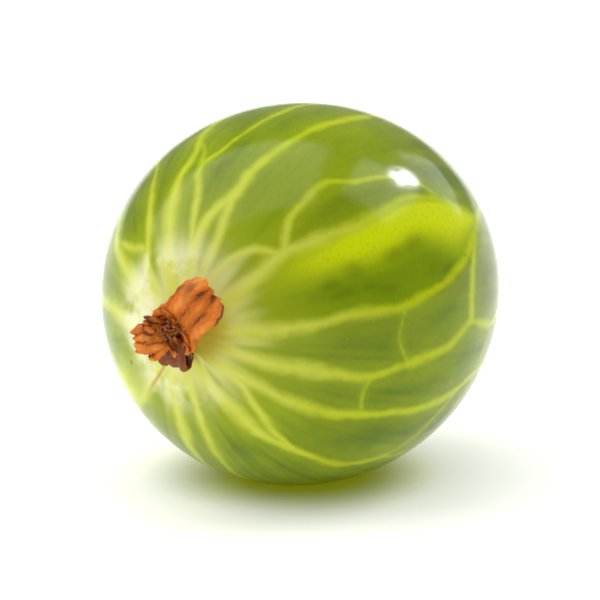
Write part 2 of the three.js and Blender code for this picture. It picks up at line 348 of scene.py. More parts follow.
def across_placenta(degrees, turn, left, right):
    """How far a point is from the left border vein, as a share of the way to the right one."""
    left_turn, left_angle = rounded(left).T
    right_turn, right_angle = rounded(right).T
    border = np.radians(np.interp(degrees, left_angle, left_turn))
    width = np.radians(np.interp(degrees, right_angle, right_turn)) - border
    inwards = (turn - border + np.pi) % (2 * np.pi) - np.pi
    return inwards / np.maximum(width, NARROWEST)


def placenta_strip(degrees, share):
    """The bright part: a strip along the left border that widens to the whole width at the far end. It is
    a smooth step up across the border, times one down within it, times one up and one down lengthwise."""
    reach = 0.62 + 0.43 * ease(degrees, 74, 94)
    strip = ease(share, *BORDER_STEP) * (1 - ease(share, 0.35 * reach, 1.05 * reach))
    return strip * ease(degrees, 18, 42) * (1 - ease(degrees, 102, 109))


def placenta_window(degrees, share):
    """The clear part: all between the two borders, from a little way out."""
    within = ease(share, *BORDER_STEP) * (1 - ease(share, 0.9, 1.03))
    return within * ease(degrees, 27, 42) * (1 - ease(degrees, 98, 107))


# %% Seeds
SEED_COUNT = 11
FIRST_SEED = 36
SEED_ROW = 48


def seed_shadows(degrees, share, seed):
    """Soft dark ovals that lie lengthwise in a row: bells of the distance from each seed's middle."""
    random = np.random.default_rng(seed)
    shadow = np.zeros_like(degrees)
    for number in range(SEED_COUNT):
        middle = FIRST_SEED + SEED_ROW * (number + random.uniform(0.2, 0.8)) / SEED_COUNT
        side = random.uniform(0.35, 0.9)
        out = (degrees - middle) / random.uniform(3.0, 5.5)
        aside = (share - side) / random.uniform(0.06, 0.12)
        shadow = np.maximum(shadow, random.uniform(0.5, 1.0) * np.exp(-(out**2) - aside**2))
    return shadow


# %% The placenta through the skin
from_blossom = np.degrees(berry_angle)
placenta_shares = [across_placenta(from_blossom, berry_turn, *edges) for edges in PLACENTA_EDGES]
placenta_bright = np.max([placenta_strip(from_blossom, share) for share in placenta_shares], axis=0)
placenta_clear = np.max([placenta_window(from_blossom, share) for share in placenta_shares], axis=0)
shadows = [seed_shadows(from_blossom, share, 21 + number) for number, share in enumerate(placenta_shares)]
seed_shade = placenta_clear * np.max(shadows, axis=0)
print(f"{(placenta_clear > 0.5).mean():.1%} of the skin lies over the placenta")

# %% Streaks of flesh and the strip of painted light
# The fibres' pattern advances little in a degree along the fruit, so it is drawn long.
PAINTED_LIGHT_TURN = 31
FIBRE_SLANT = 0.05
FIBRE_ADVANCE = 0.006

slant = berry_turn + FIBRE_SLANT * np.sin(2 * berry_angle)
flesh_streaks = waves(slant, [5, 9, 14, 22, 31], seed=12) + 0.5 * waves(slant, [47, 68, 91], seed=5)
# Painted light: one strip of the upper side is painted paler, where more light falls on it.
painted_light_strip = facing(berry_turn, PAINTED_LIGHT_TURN, 0.045) * (1 - ease(from_blossom, 70, 120))
print("flesh streaks up to", flesh_streaks.max().round(1))

# %% Pale, milky and golden skin
# Each reach is how far from the blossom end that skin goes.
UPPER_RIGHT_TURN = 52

streaks = waves(berry_turn, [11, 17, 23, 30], seed=4)
vein_glow = np.exp(-vein_gap / 3.0)
left_side = -np.sin(berry_turn)
upper_right = facing(berry_turn, UPPER_RIGHT_TURN, 0.12)
milky_reach = np.maximum(19 + 3 * streaks + 6 * vein_glow + 3.5 * left_side + 4 * upper_right, 6)
milky = 1 - ease(from_blossom, 0.4 * milky_reach, 1.45 * milky_reach)
pale_reach = 38 + 4 * waves(berry_turn, [11, 17, 26, 39, 58], seed=15) + 12 * vein_glow + 12 * upper_right
pale = 1 - ease(from_blossom, 0.3 * pale_reach, 1.3 * pale_reach)
golden_reach = 10.5 + 1.5 * streaks + 8 * np.clip(-left_side, 0, 1) ** 2
golden = 1 - ease(from_blossom, 6.5, golden_reach)
print("milky skin out to", round(milky_reach.mean()), "degrees from the blossom end")

# %% Rust, wax bloom and cork
RUST_TURN = 209
RUST_SLANT = 0.3
RUST_WIDTH = 2.0
BLOOM_MIDDLE = 18
BLOOM_WIDTH = 7.5

off_rust_line = np.degrees(berry_turn) - RUST_TURN - RUST_SLANT * from_blossom
rust_line = np.exp(-((off_rust_line / RUST_WIDTH) ** 2))
rust = rust_line * ease(from_blossom, 11, 16) * (1 - ease(from_blossom, 22, 36))
bloom_ring = np.exp(-(((from_blossom - BLOOM_MIDDLE) / BLOOM_WIDTH) ** 2))
bloom = bloom_ring * np.clip(0.5 + 0.6 * left_side, 0, 1)
cork_reach = 9 + 3 * waves(berry_turn, [5, 9, 14], seed=9) + 10 * np.exp(-vein_gap / 1.6)
cork = 1 - ease(180 - from_blossom, 0.55 * cork_reach, cork_reach)
print("cork out to", round(cork_reach.mean()), "degrees from the stalk end")

# %% The berry
SKIN_VALUES = {
    "vein_gap": vein_gap,
    "placenta_bright": placenta_bright,
    "placenta_clear": placenta_clear,
    "seed_shade": seed_shade,
    "flesh_streaks": flesh_streaks,
    "milky": milky,
    "bloom": bloom,
    "rust": rust,
    "pale": pale,
    "painted_light_strip": painted_light_strip,
    "golden": golden,
    "cork": cork,
    "round_right": np.sin(berry_turn),
    "round_up": np.cos(berry_turn),
    "along_fibres": FIBRE_ADVANCE * from_blossom,
}
berry = add_piece("gooseberry_skin", "berry", [(berry_points, berry_faces)], SKIN_VALUES)

# %% [markdown]
# ## Colours and nodes
# Colours are written as they look on a screen, and one function turns them to the linear values that a
# renderer works with. Another adds a shader node with its settings and links, and gives the socket that the
# next node takes. A finish is then built up as paint is, in layers over a ground colour.


# %% Shader helpers
def linear(hex_colour):
    """A screen colour such as #86a021 as linear red, green, blue and alpha, by the sRGB curve."""
    screen = np.array([int(hex_colour[i : i + 2], 16) for i in (1, 3, 5)]) / 255
    return (*np.where(screen <= 0.04045, screen / 12.92, ((screen + 0.055) / 1.055) ** 2.4), 1)


def add_node(tree, kind, links, output=None, **settings):
    """Adds a node, sets its properties, sets or links its inputs, where a text is a colour, and gives the
    named or the first output."""
    node = tree.nodes.new(kind)
    for name, value in settings.items():
        setattr(node, name, value)
    sockets = {socket.identifier: socket for socket in node.inputs}
    for name, value in links.items():
        if isinstance(value, bpy.types.NodeSocket):
            tree.links.new(value, sockets[name])
        else:
            sockets[name].default_value = linear(value) if isinstance(value, str) else value
    outputs = {socket.identifier: socket for socket in node.outputs}
    return outputs[output] if output else next(iter(outputs.values()), None)


def pattern(place, size, **settings):
    """The inputs of a noise or cell pattern whose patches or cells are that many millimetres across."""
    return {"Vector": place, "Scale": 1 / (size * MM), **settings}


def new_material(name):
    """An empty material, its node tree and the place of each point on the object, for patterns."""
    material = bpy.data.materials.new(name)
    material.use_nodes = True
    tree = material.node_tree
    tree.nodes.clear()
    return material, tree, add_node(tree, "ShaderNodeTexCoord", {}, "Object")


def finished(material, finish):
    """Ends a material with the inputs of its Principled surface."""
    surface = add_node(material.node_tree, "ShaderNodeBsdfPrincipled", finish)
    add_node(material.node_tree, "ShaderNodeOutputMaterial", {"Surface": surface})
    return material


def layered(tree, ground, layers):
    """Lays each colour over what is below it, as far as its mask says. A mask is a socket, or a value, the
    start and the end of a smooth step up from nought, and the strength that the step reaches."""
    for mask, colour in layers:
        if isinstance(mask, tuple):
            value, start, end, strength = mask
            step = {"Value": value, "From Min": start, "From Max": end, "To Min": 0.0, "To Max": strength}
            mask = add_node(tree, "ShaderNodeMapRange", step, interpolation_type="SMOOTHSTEP")
        links = {"Factor_Float": mask, "A_Color": ground, "B_Color": colour}
        ground = add_node(tree, "ShaderNodeMix", links, "Result_Color", data_type="RGBA")
    return ground


# %% [markdown]
# ## Gooseberry skin
# The skin is a thin clear layer with a natural wax polish over juicy flesh, so light goes in, spreads for a
# few millimetres and comes out green. A glassy shell round a core could do that, but it renders slowly, so it
# is left to subsurface scattering in the Principled shader. The eye sees soft shading, clear reflections of
# the lamps, and pale veins that glow a little at their sides. Juice bends light much as water does, so the
# index of refraction is 1.35. The wax dulls the shine a little, so the specular level is a third and not the
# usual half.

# %% The skin's colours
FLESH = "#7e9600"
DEEP_FLESH = "#526a00"
CLEAR_FLESH = "#829c00"
PLACENTA_GREEN = "#d4e000"
SEED_SHADE = "#566800"
VEIN = "#c4d004"
VEIN_GLOW = "#98a805"
PALE_SKIN = "#a6b41a"
MILKY_SKIN = "#e6e892"
MILKY_VEIN = "#dde160"
WAX_BLOOM = "#f6f7d2"
COLLAR_GOLD = "#bcac14"
CORK = "#c9c08a"
SPECK = "#a9b94c"
RUSSET = "#6b4a14"
RUST_STAIN = "#b5832c"


# %% Sizes of the skin's patterns
# In millimetres. The flesh's own cells are about 0.1 mm across, too fine to show here, so its grain is drawn
# about twice as coarse.
MOTTLE_SIZE = 3.85
WAX_PATCH = 1.92
RIPPLE_LENGTH = 1.11
RIPPLE_HEIGHT = 0.03
FRAY_LENGTH = 0.714
FLESH_GRAIN = 0.192
FIBRE_SPACING = 1.14
SPECK_SPACING = 0.77
SPOT_SPACING = 5.26
SCATTER_REACH = 2.4

# Where a vein's pale core and the glow beside it end, in half widths of the vein.
VEIN_FRAY = 1.4
CORE_EDGE = 2.4
PALE_CORE = 1.2
GLOW_EDGE = 8.0


# %% The skin's colour
def skin_colour(tree, place):
    """Layers over the flesh's green, from the inside out: streaks and mottles, the placenta and its seeds,
    the pale and milky skin, the veins, then what lies on the skin."""
    read = {
        name: add_node(tree, "ShaderNodeAttribute", {}, "Fac", attribute_name=name) for name in SKIN_VALUES
    }
    mottle = add_node(tree, "ShaderNodeTexNoise", pattern(place, MOTTLE_SIZE, Detail=5.0))
    ragged = add_node(tree, "ShaderNodeTexNoise", pattern(place, FRAY_LENGTH, Detail=4.0))
    grainy = add_node(tree, "ShaderNodeTexNoise", pattern(place, FLESH_GRAIN, Detail=2.0))
    patchy = add_node(tree, "ShaderNodeTexNoise", pattern(place, WAX_PATCH, Detail=3.0))
    specks = add_node(tree, "ShaderNodeTexVoronoi", pattern(place, SPECK_SPACING))
    spots = add_node(tree, "ShaderNodeTexVoronoi", pattern(place, SPOT_SPACING))
    lengthwise = {"X": read["round_right"], "Y": read["round_up"], "Z": read["along_fibres"]}
    fibre_place = add_node(tree, "ShaderNodeCombineXYZ", lengthwise)
    fibre_scale = {"Vector": fibre_place, "Scale": GIRTH_RADIUS / FIBRE_SPACING, "Detail": 7.0}
    fibres = add_node(tree, "ShaderNodeTexNoise", fibre_scale)
    fray = {"Value": ragged, "Value_001": VEIN_FRAY, "Value_002": read["vein_gap"]}
    frayed_gap = add_node(tree, "ShaderNodeMath", fray, operation="MULTIPLY_ADD")
    core = {"Value": read["pale"], "Value_001": PALE_CORE, "Value_002": CORE_EDGE}
    core_edge = add_node(tree, "ShaderNodeMath", core, operation="MULTIPLY_ADD")
    vein_colour = layered(tree, VEIN, [(read["pale"], MILKY_VEIN)])
    layers = [
        ((read["flesh_streaks"], -0.6, 1.6, 0.6), DEEP_FLESH),
        ((mottle, 0.4, 0.68, 0.45), DEEP_FLESH),
        ((fibres, 0.45, 0.68, 0.3), DEEP_FLESH),
        ((fibres, 0.48, 0.3, 0.3), VEIN_GLOW),
        # Painted light: the strip of the upper side, painted paler.
        ((read["painted_light_strip"], 0.0, 1.0, 0.35), PALE_SKIN),
        ((frayed_gap, GLOW_EDGE, 1.0, 0.6), VEIN_GLOW),
        ((read["placenta_clear"], 0.0, 1.0, 0.9), CLEAR_FLESH),
        (read["placenta_bright"], PLACENTA_GREEN),
        ((read["seed_shade"], 0.0, 1.0, 0.5), SEED_SHADE),
        ((grainy, 0.5, 0.75, 0.15), DEEP_FLESH),
        ((read["pale"], 0.0, 1.0, 0.8), PALE_SKIN),
        ((read["milky"], 0.0, 1.0, 0.85), MILKY_SKIN),
        ((frayed_gap, core_edge, 0.6, 0.85), vein_colour),
        ((patchy, 0.4, 0.6, read["bloom"]), WAX_BLOOM),
        ((read["rust"], 0.1, 1.0, 0.6), RUST_STAIN),
        ((specks, 0.14, 0.05, 0.2), SPECK),
        ((spots, 0.035, 0.02, 0.6), RUSSET),
        (read["golden"], COLLAR_GOLD),
        (read["cork"], CORK),
    ]
    return layered(tree, FLESH, layers)


# %% The skin's surface
def skin_material():
    """A gently rippled, glossy surface over flesh that scatters green light furthest and blue least."""
    material, tree, place = new_material("gooseberry_skin")
    ripple = add_node(tree, "ShaderNodeTexNoise", pattern(place, RIPPLE_LENGTH, Detail=5.0))
    height = {"Height": ripple, "Distance": RIPPLE_HEIGHT * MM, "Strength": 0.6}
    finish = {
        "Base Color": skin_colour(tree, place),
        "Roughness": 0.145,
        "IOR": 1.35,
        "Specular IOR Level": 0.33,
        "Subsurface Weight": 0.9,
        "Subsurface Radius": (0.9, 1.0, 0.3),
        "Subsurface Scale": SCATTER_REACH * MM,
        "Normal": add_node(tree, "ShaderNodeBump", height),
    }
    return finished(material, finish)


berry.data.materials.append(skin_material())

# %% [markdown]
# ## The dried flower
# The flower doesn't fall when the fruit sets: it dries on the blossom end. It is a short tube, pressed
# flatter one way, whose mouth carries five sepals, and between them five small petals, five stamens and one
# style. It is as thin as brown paper, folded, wrinkled and bent back. A cloth simulation could crumple it,
# but each sepal has its own place and curl, so each blade is a sheet that follows a line which starts out at
# one lean and bends over to another.

# %% The flower's dimensions
# In millimetres; leans and twists are in degrees. A sepal's browning and shade is how far it is painted dark:
# browning, and painted shade on the sepal that curls back under.
TUBE_LENGTH = 1.5
TUBE_BASE = 0.95
TUBE_WAIST = 0.8
TUBE_MOUTH = 0.95
TUBE_LIP = 0.12
TUBE_BOWL = 0.75
TUBE_RIBS = 0.05
TUBE_WRINKLES = 0.045
# How strongly the tube's ribs and wrinkles are painted light and dark, as painted highlight and shade.
TUBE_FOLDS = 8
TUBE_FLATTENING = 0.5
TUBE_WIDE_TURN = np.radians(138)
FLOWER_SLOPE = 0.33
FLOWER_LEAN_TURN = np.radians(62)
FLOWER_FOOT = HALF_LENGTH + COLLAR_HEIGHT + 0.15
ROOT_DEPTH = 0.35
SEPALS = [
    dict(zip(("turn", "length", "width", "lean", "cup", "twist", "phase", "browning_and_shade"), row))
    for row in [
        (43, 3.25, 2.45, (56, 122), 0.2, 10, 0.4, 0),
        (184, 3.1, 1.8, (22, 262), 0.3, 10, 3.1, 2),
        (228, 1.75, 1.2, (34, 96), 0.3, -14, 1.9, 0.5),
        (250, 2.05, 1.5, (38, 88), 0.3, 12, 4.6, -0.4),
        (280, 1.3, 0.9, (26, 72), 0.5, 24, 5.5, 1),
    ]
]
PETAL = {"length": 0.8, "width": 0.9, "cup": 0.35, "browning_and_shade": 0.3}
PETAL_TURNS = [22, 98, 170, 243, 318]
STAMEN_TURNS = [60, 131, 204, 275, 350]
STAMEN_LENGTH = 1.15
STAMEN_LEAN = (0, 40)
STAMEN_RADIUS = 0.05
ANTHER_RADIUS = 0.11
STYLE_TURN = 215
STYLE_LENGTH = 1.4
STYLE_LEAN = (0, 36)
STYLE_RADIUS = 0.07
STIGMA_RADIUS = 0.13


# %% From the flower's frame to the fruit's
def stand_flower(points):
    """The flower's frame has +Z out of the blossom end, +Y up and +X to the right of a viewer who faces it.
    The flower leans aside in proportion to how far out a point is."""
    x, y, out = np.moveaxis(points, -1, 0)
    aside_x = x + FLOWER_SLOPE * np.sin(FLOWER_LEAN_TURN) * out
    aside_y = y + FLOWER_SLOPE * np.cos(FLOWER_LEAN_TURN) * out
    return settle(np.stack([-FLOWER_FOOT - out, -aside_x, aside_y], axis=-1))


def from_axis(turn, radius, out):
    """A point of the flower's frame at a turn clockwise from up, a distance from the axis and a way out."""
    return np.stack(np.broadcast_arrays(radius * np.sin(turn), radius * np.cos(turn), out), axis=-1)


def on_tube(turn, radius, out):
    """The same on the tube, which is pressed flatter the further out it is: its radius goes with a cosine of
    twice the turn, and is greatest at the wide turn."""
    height = np.clip(out / TUBE_LENGTH, 0, 1)
    return from_axis(turn, radius * (1 + TUBE_FLATTENING * height * np.cos(2 * (turn - TUBE_WIDE_TURN))), out)


def in_mouth(degrees, inwards, down):
    """A root inside the tube's mouth, so many millimetres in from its wall and down from its lip."""
    return on_tube(np.radians(degrees), TUBE_MOUTH - inwards, TUBE_LENGTH - down)


# %% Lines that bend over
EARLY_BEND = 0.8


def bending_line(root, turn, length, lean, samples):
    """Points along a line from its root, with the directions along it and towards the flower's axis.

    The lean from the axis goes from the first to the last value with a power of the share of the length, so
    that it bends a little more near its root. The points are the running sum of the directions."""
    share = np.linspace(0, 1, samples)
    angles = np.radians(lean[0] + (lean[1] - lean[0]) * share**EARLY_BEND)
    outwards = np.array([0.0, 0.0, 1.0])
    radial = np.array([np.sin(turn), np.cos(turn), 0.0])
    along = np.sin(angles)[:, None] * radial + np.cos(angles)[:, None] * outwards
    inner = np.sin(angles)[:, None] * outwards - np.cos(angles)[:, None] * radial
    steps = (along[1:] + along[:-1]) / 2 * length / (samples - 1)
    points = root + np.vstack([np.zeros(3), np.cumsum(steps, axis=0)])
    return share, points, along, inner


# %% The tube
def flower_tube(columns=160):
    """The tube's wall as rings of radius against distance out: up the outside, over the lip and down to the
    bowl's floor. Ribs and wrinkles are cosines of ten and more times the turn; the folds are their sum, which
    the shader paints lighter where they stand out, as painted highlight, and darker where they sink, as
    painted shade."""
    outline = np.array(
        [
            (-ROOT_DEPTH, TUBE_BASE),
            (0.0, TUBE_BASE),
            (0.35, TUBE_WAIST + 0.06),
            (0.75, TUBE_WAIST),
            (1.25, TUBE_WAIST + 0.14),
            (TUBE_LENGTH, TUBE_MOUTH),
            (TUBE_LENGTH + TUBE_LIP, TUBE_MOUTH - 0.08),
            (TUBE_LENGTH, TUBE_MOUTH - 0.2),
            (1.2, TUBE_WAIST - 0.08),
            (TUBE_LENGTH - TUBE_BOWL, TUBE_WAIST - 0.3),
        ]
    )
    out, radius = rounded(outline, samples=8).T
    turn = -2 * np.pi * np.arange(columns) / columns
    out, turn = np.meshgrid(out, turn, indexing="ij")
    height = np.clip(out / TUBE_LENGTH, 0, 1)
    ribs = TUBE_RIBS * height * np.cos(10 * turn + 1.5 * out)
    wavering = turn + 0.25 * np.sin(4 * out)
    wrinkles = TUBE_WRINKLES * waves(wavering, [17, 23, 31], seed=3) * ease(out, -0.1, 0.5)
    rings = on_tube(turn, radius[:, None] * (1 + ribs + wrinkles), out)
    first_tip = np.array([0, 0, -ROOT_DEPTH])
    last_tip = np.array([0, 0, TUBE_LENGTH - TUBE_BOWL])
    points, faces = closed_body(stand_flower(rings[:, ::-1]), stand_flower(first_tip), stand_flower(last_tip))
    return (points, faces), np.append((ribs + wrinkles)[:, ::-1].ravel() * TUBE_FOLDS, [0, 0])


tube_body, tube_folds = flower_tube()
tube = add_piece("flower_tube", "dried_flower", [tube_body], {"fold": tube_folds})

# %% [markdown]
# ## Sepals and petals
# A fresh sepal is a soft tongue. As it dries, its veins stay stiff and the tissue between them sinks, so that
# it folds lengthwise, its edges curl and its tip frays. The largest one here lies back towards the skin, and
# the others have shrivelled against the mouth of the tube.


# %% How a sheet dries
# Heights in millimetres, apart from the curl of the edges, which is a share of the half width.
CRUMPLE = 0.11
PLEAT = 0.07
WRINKLE = 0.022
EDGE_CURL = 0.55
TIP_FRAY = 0.07
FOLD_DEPTH = 0.12
SCORCH = 1.6


def dried_rise(u, v, phase, pleats):
    """How far a sheet rises at each share of its length, u, and half width, v: a crumple that grows along it,
    lengthwise pleats and fine wrinkles, all products of sines."""
    crumple = CRUMPLE * u * np.sin(4.2 * v + 5 * u + phase) * np.cos(6 * u + 2 * phase)
    pleat = PLEAT * ease(u, 0, 0.35) * np.cos(np.pi * pleats * (v + 0.15 * np.sin(3 * u + phase)))
    wrinkle = WRINKLE * np.sin(23 * v + 5 * np.sin(7 * u + phase)) * np.sin(17 * u + 4 * v + 2 * phase)
    return pleat + wrinkle + crumple


# %% A dried blade
def dried_blade(blade, root, pleats, rows=64, columns=44):
    """A sheet whose middle line bends over, and whose half width swells and is cut blunt at the tip. It rises
    by a cup, the square of the share across, less a curl back at both edges, and as dried sheets do. Its
    folds are positive on ridges and negative in hollows, which the shader paints lighter as painted highlight
    and darker as painted shade. One corner of each blade is browned with the hollows' colour, and so is the
    whole of a blade but its root by its browning and shade: browning, and painted shade on the curled sepal."""
    turn = np.radians(blade["turn"])
    share, middle, along, inner = bending_line(root, turn, blade["length"], blade["lean"], rows)
    u, v = np.meshgrid(share, np.linspace(-1, 1, columns), indexing="ij")
    phase = blade["phase"]
    half_width = blade["width"] / 2 * (0.95 + 0.15 * share - 0.32 * share**8 + 0.25 * (1 - share) ** 2)
    half_width = half_width[:, None]
    ragged = 1 + 0.045 * np.sin(9 * u + 3 * phase + 1.4 * (v > 0)) + 0.02 * np.sin(31 * u + 5 * phase + 2 * v)
    cup = blade["cup"] * half_width * v**2
    curl = EDGE_CURL * half_width * ease(np.abs(v), 0.62, 1.15) * ease(u, 0.1, 0.6)
    dried = dried_rise(u, v, phase, pleats)
    fray = TIP_FRAY * ease(u, 0.8, 1) * (np.sin(11 * v + phase) + 0.6 * np.sin(23 * v + 3 * phase))
    twist = np.radians(blade["twist"]) * share[:, None]
    side = np.cross(inner, along)
    turned_side = side * np.cos(twist) + inner * np.sin(twist)
    face = inner * np.cos(twist) - side * np.sin(twist)
    points = (
        middle[:, None]
        + (v * half_width * ragged)[..., None] * turned_side[:, None]
        + (cup + dried - curl)[..., None] * face[:, None]
        + fray[..., None] * along[:, None]
    )
    scorched = SCORCH * ease(u, 0.5, 1) * ease(-v, 0.3, 1)
    # Painted shade and highlight: hollows, browned corners and browned or curled-under blades go dark, ridges
    # light.
    folds = dried / FOLD_DEPTH - blade["browning_and_shade"] * ease(u, 0.0, 0.25) - scorched
    return (stand_flower(points).reshape(-1, 3), grid_quads(rows, columns).tolist()), folds.ravel()


# %% Sepals and petals
def add_blades(name, blades, thickness):
    """Joins blades in one piece and gives them a thickness in millimetres."""
    folds = np.concatenate([fold for _, fold in blades])
    piece = add_piece(name, "dried_flower", [body for body, _ in blades], {"fold": folds})
    wall = piece.modifiers.new("thickness", "SOLIDIFY")
    wall.thickness = thickness * MM
    wall.offset = 0
    return piece


sepal_blades = [dried_blade(sepal, in_mouth(sepal["turn"], 0.45, 0.45), pleats=3) for sepal in SEPALS]
sepals = add_blades("sepals", sepal_blades, thickness=0.16)

petal_blades = []
for number, petal_turn in enumerate(PETAL_TURNS):
    lean = (10 + 8 * np.sin(5 * number), -30 + 25 * np.sin(3 * number))
    twist = 35 * np.cos(2 * number)
    petal = {**PETAL, "turn": petal_turn, "phase": 1.7 * number, "lean": lean, "twist": twist}
    petal_blades.append(dried_blade(petal, in_mouth(petal_turn, 0.6, 0.5), pleats=2, rows=36, columns=24))
petals = add_blades("petals", petal_blades, thickness=0.1)

# %% [markdown]
# ## Stamens, style and hairs
# The first two are threads with a thicker end: an anther on each stamen, and a stigma on the style. The tube
# carries about a hundred short stiff hairs, which taper to a point. Particle hair isn't a mesh, so each hair
# is a slender body with four sides.


# %% Threads
def thread(line, radii, sides=10):
    """A round body along a line, with a radius at each of the line's points."""
    _, middle, along, inner = line
    side = np.cross(inner, along)
    around = 2 * np.pi * np.arange(sides) / sides
    spoke = np.cos(around)[:, None] * side[:, None] - np.sin(around)[:, None] * inner[:, None]
    rings = middle[:, None] + radii[:, None, None] * spoke
    tip = middle[-1] + radii[-1] * along[-1]
    return closed_body(stand_flower(rings), stand_flower(middle[0]), stand_flower(tip))


def knobbed(share, radius, knob_radius):
    """A thread's radius, which swells near its end like half a circle."""
    knob = knob_radius * np.sqrt(np.clip(1 - ((share - 0.87) / 0.14) ** 2, 0, 1))
    return np.maximum(np.where(share < 0.95, radius, 0.4 * radius), knob)


def stamen(number, degrees):
    """Each stamen bends over a little differently."""
    lean = (STAMEN_LEAN[0], STAMEN_LEAN[1] + 9 * np.sin(4 * number))
    line = bending_line(in_mouth(degrees, 0.7, 0.8), np.radians(degrees), STAMEN_LENGTH, lean, samples=40)
    return thread(line, knobbed(line[0], STAMEN_RADIUS, ANTHER_RADIUS))


threads = [stamen(number, degrees) for number, degrees in enumerate(STAMEN_TURNS)]
style_root = in_mouth(STYLE_TURN, TUBE_MOUTH, 1)
style_line = bending_line(style_root, np.radians(STYLE_TURN), STYLE_LENGTH, STYLE_LEAN, samples=48)
threads.append(thread(style_line, knobbed(style_line[0], STYLE_RADIUS, STIGMA_RADIUS)))
stamens_and_style = add_piece("stamens_and_style", "dried_flower", threads)

# %% Hairs
HAIR_COUNT = 110
HAIR_RADIUS = 0.022


def hair(random):
    """A thin line that leaves the tube's wall and bends towards the mouth. Its radius tapers evenly."""
    turn = random.uniform(0, 2 * np.pi)
    out = random.uniform(0.1, TUBE_LENGTH - 0.1)
    wall = np.interp(out, (0, 0.75, TUBE_LENGTH), (TUBE_BASE, TUBE_WAIST, TUBE_MOUTH))
    root = on_tube(turn, wall - 0.12, out)
    length = random.uniform(0.55, 0.95)
    lean = (random.uniform(60, 105), random.uniform(35, 75))
    line = bending_line(root, turn + random.uniform(-0.5, 0.5), length, lean, samples=7)
    return thread(line, HAIR_RADIUS * (1 - 0.8 * line[0]), sides=4)


hair_draw = np.random.default_rng(17)
all_hairs = [hair(hair_draw) for _ in range(HAIR_COUNT)]
hairs = add_piece("flower_hairs", "dried_flower", all_hairs)

# %% [markdown]
# ## Dried flower leaf
# The leaf has lost its green and turned the orange-brown of dead leaves. It is matt and papery, painted
# darker in its folds, as painted shade, and lighter on its ridges, as painted highlight, so the shader reads
# how high each point of the folds lies. Its finest veins would be too fine to show, so they are drawn about
# twice as coarse.

# %% Finishes of the dried flower
DRIED_LEAF = "#d6700f"
RIDGE_HIGHLIGHT_AND_VEIN = "#f2973a"
FOLD_SHADE_AND_BLOTCH = "#6a3214"
WITHERED = "#b4621f"
THREAD_BROWN = "#804a26"
HAIR_STRAW = "#cbb27c"

# In millimetres.
BLOTCH_SIZE = 0.77
LEAF_VEIN_SPACING = 0.143
LEAF_GRAIN = 0.111
LEAF_GRAIN_HEIGHT = 0.05
LEAF_SCATTER_REACH = 0.3


def dried_material(name, ground, highlight_and_vein, shade_and_blotch, roughness=0.75):
    """A papery finish of one colour, with another on its ridges as painted highlight and on its fine veins,
    and a third in its hollows as painted shade and in its blotches.
    """
    material, tree, place = new_material(name)
    fold = add_node(tree, "ShaderNodeAttribute", {}, "Fac", attribute_name="fold")
    blotch = add_node(tree, "ShaderNodeTexNoise", pattern(place, BLOTCH_SIZE, Detail=4.0))
    fine_veins = pattern(place, LEAF_VEIN_SPACING, Detail=3.0, Distortion=0.6)
    fibre = add_node(tree, "ShaderNodeTexNoise", fine_veins)
    layers = [
        # Painted highlight on the folds' ridges and painted shade in their hollows, by how high each point
        # lies.
        ((fold, 0.1, 1.1, 0.9), highlight_and_vein),
        ((fold, -0.1, -1.0, 0.9), shade_and_blotch),
        ((blotch, 0.54, 0.76, 0.6), shade_and_blotch),
        ((fibre, 0.55, 0.75, 0.35), highlight_and_vein),
    ]
    grain = add_node(tree, "ShaderNodeTexNoise", pattern(place, LEAF_GRAIN, Detail=4.0))
    height = {"Height": grain, "Distance": LEAF_GRAIN_HEIGHT * MM, "Strength": 0.8}
    finish = {
        "Base Color": layered(tree, ground, layers),
        "Roughness": roughness,
        "IOR": 1.45,
        "Subsurface Weight": 0.25,
        "Subsurface Radius": (1.0, 0.4, 0.15),
        "Subsurface Scale": LEAF_SCATTER_REACH * MM,
        "Normal": add_node(tree, "ShaderNodeBump", height),
    }
    return finished(material, finish)


dried_leaf = dried_material("dried_sepal_leaf", DRIED_LEAF, RIDGE_HIGHLIGHT_AND_VEIN, FOLD_SHADE_AND_BLOTCH)
withered_petal = dried_material("withered_petal", WITHERED, DRIED_LEAF, THREAD_BROWN)
dry_thread = dried_material("dry_stamen_thread", THREAD_BROWN, WITHERED, THREAD_BROWN, roughness=0.6)
dry_hair = dried_material("dry_flower_hair", HAIR_STRAW, HAIR_STRAW, WITHERED, roughness=0.5)
tube.data.materials.append(dried_leaf)
sepals.data.materials.append(dried_leaf)
petals.data.materials.append(withered_petal)
stamens_and_style.data.materials.append(dry_thread)
hairs.data.materials.append(dry_hair)

# %% [markdown]
# ## The stalk
# The fruit hung by a green stalk about a millimetre thick, which spreads into a foot where it joins the skin.
# It broke where it joined the branch, so its end is pale and dry. A curve with a round bevel could be the
# stalk, but rings also give it ridges and a torn end.

# %% The stalk's form
# In millimetres. The droop and the swing are per millimetre out, squared.
STALK_LENGTH = 4.7
STALK_FOOT = 0.98
STALK_WAIST = 0.52
STALK_END = 0.68
STALK_FLARE = 0.55
LEAF_SCAR = 0.05
STALK_SUNK = 0.06
STALK_DROOP = 0.055
STALK_SWING = 0.03
STALK_START = HALF_LENGTH - DIMPLE_DEPTH + 0.15


def stand_stalk(points):
    """The stalk's frame has +Z out of the stalk end and +Y up."""
    x, y, out = np.moveaxis(points, -1, 0)
    return settle(np.stack([STALK_START + out, x, y], axis=-1))


